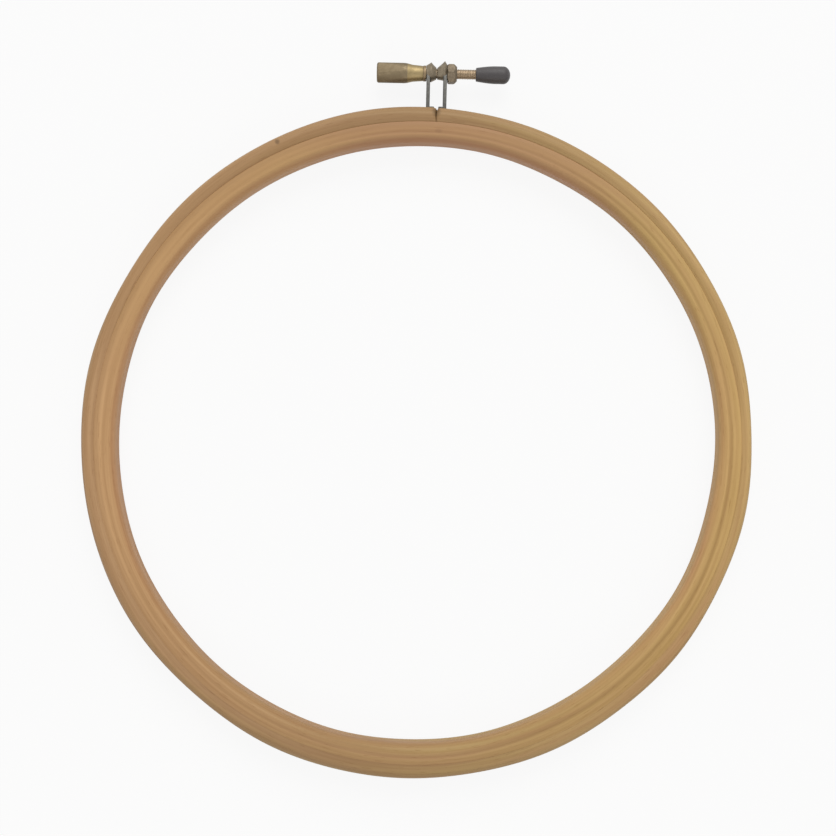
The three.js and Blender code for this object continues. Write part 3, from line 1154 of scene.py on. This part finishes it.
nut = bmesh.new()
first = bmesh.ops.create_circle(nut, cap_ends=False, radius=nut_corner * MM, segments=6)["verts"]
sides = list({edge for corner in first for edge in corner.link_edges})
bmesh.ops.subdivide_edges(nut, edges=sides, cuts=7)
bmesh.ops.rotate(nut, verts=nut.verts, cent=(0, 0, 0), matrix=Matrix.Rotation(math.radians(30), 3, "Z"))
bmesh.ops.rotate(nut, verts=nut.verts, cent=(0, 0, 0), matrix=Matrix.Rotation(math.radians(90), 3, "Y"))
bmesh.ops.translate(nut, verts=nut.verts, vec=(nut_start * MM, 0, 0))
loop = list(nut.edges)
outer_loops = [loop]
corner_run = nut_corner - nut_flat
stations = [nut_start + corner_run * t for t in (0.33, 0.67, 1.0)]
stations += [nut_end - end_bevel - corner_run * t for t in (1.0, 0.67, 0.33, 0.0)]
stations += [nut_end - 0.25, nut_end]
at = nut_start
for station in stations:
    grown = bmesh.ops.extrude_edge_only(nut, edges=loop)["geom"]
    corners = [part for part in grown if isinstance(part, bmesh.types.BMVert)]
    bmesh.ops.translate(nut, verts=corners, vec=((station - at) * MM, 0, 0))
    loop = [part for part in grown if isinstance(part, bmesh.types.BMEdge)]
    at = station
outer_loops.append(loop)
print("nut layers:", len(stations) + 1)

# %% [markdown]
# A real nut is turned at both ends, so its corners are cut back to a circle there. Each point that
# lies outside the turned shape is drawn in to it. Then a round hole is bridged through the middle.

# %% Turned corners and hole
bore = 1.52

for corner in nut.verts:
    radius = math.hypot(corner.co.y, corner.co.z) / MM
    x = corner.co.x / MM
    turned_off = min(nut_flat + (x - nut_start), nut_flat + (nut_end - end_bevel - x), nut_corner)
    if x > nut_end - end_bevel:
        turned_off = nut_flat - (x - nut_end + end_bevel)
    if radius > turned_off:
        corner.co.yz *= turned_off / radius
bores = []
for x in (nut_start, nut_end):
    ring = bmesh.ops.create_circle(nut, cap_ends=False, radius=bore * MM, segments=48)["verts"]
    bmesh.ops.rotate(nut, verts=ring, cent=(0, 0, 0), matrix=Matrix.Rotation(math.radians(90), 3, "Y"))
    bmesh.ops.translate(nut, verts=ring, vec=(x * MM, 0, 0))
    bores.append(list({edge for corner in ring for edge in corner.link_edges}))
for rim, hole in zip(outer_loops, bores):
    bmesh.ops.bridge_loops(nut, edges=rim + hole)
bmesh.ops.bridge_loops(nut, edges=bores[0] + bores[1])
finish_piece(
    put(nut, screw_place), "clamp_nut_turned_steel", [nut_steel],
    "hoop_frame", "clamp_nut", crease=25,
)

# %% [markdown]
# The screw has a fine machine thread, one turn every half millimetre. A chain of edges across one
# thread is spun round the axis while it moves along by one pitch a turn, so each turn meets the
# next. The two ends are sawn off square and capped, inside the knob and the cap.

# %% Clamp screw
pitch = 0.5
crest = 1.5
root = 1.36
screw_from = -5.2
screw_to = 13.05
turns = 38
turn_steps = 28

screw = bmesh.new()
tooth = [(0, root), (0.08, root), (0.225, crest), (0.275, crest), (0.42, root), (pitch, root)]
chain = wire(screw, [((screw_from - pitch + x) * MM, y * MM, 0) for x, y in tooth], closed=False)
bmesh.ops.spin(
    screw, geom=chain, cent=(0, 0, 0), axis=(1, 0, 0), dvec=(pitch * MM / turn_steps, 0, 0),
    angle=2 * math.pi * turns, steps=turn_steps * turns, use_merge=False, use_duplicate=False,
)
bmesh.ops.remove_doubles(screw, verts=screw.verts, dist=0.002 * MM)
for x, way in ((screw_from, -1), (screw_to, 1)):
    bmesh.ops.bisect_plane(
        screw, geom=list(screw.verts) + list(screw.edges) + list(screw.faces), dist=0.0001 * MM,
        plane_co=(x * MM, 0, 0), plane_no=(way, 0, 0), clear_outer=True,
    )
ends = bmesh.ops.holes_fill(screw, edges=[edge for edge in screw.edges if edge.is_boundary], sides=0)["faces"]
print("screw ends:", len(ends))
finish_piece(
    put(screw, screw_place), "clamp_screw_cut_thread", [thread_brass],
    "thumb_screw", "clamp_screw",
)

# %% [markdown]
# The rubber cap is pushed over the screw's end. It is thinnest at its mouth, where a small bead
# rolls in towards the thread, and swells to a blunt round end.

# %% Screw end cap
cap_mouth = 11.83
bead = 0.25
mouth_radius = 2.05
cap_radius = 2.62
swell = cap_radius - mouth_radius
swell_length = 5.75
dome_from = 20.13
dome_length = 2.1

profile = (
    [(cap_mouth + 0.6, 0), (cap_mouth + 0.6, 1.52), (cap_mouth + 0.12, 1.55)]
    + arc((cap_mouth + bead, mouth_radius - bead), (bead, bead), 200, 90, 6)
    + [
        (cap_mouth + bead + swell_length * t, mouth_radius + swell * (1.5 * t - 0.5 * t * t * t))
        for t in (0.12, 0.24, 0.36, 0.48, 0.6, 0.72, 0.84, 0.94)
    ]
    + arc((dome_from, 0), (dome_length, cap_radius), 90, 0, 16)
)
cap = lathe(profile, 72)
finish_piece(
    put(cap, screw_place), "screw_end_cap_rubber", [cap_rubber],
    "thumb_screw", "screw_end_cap",
)
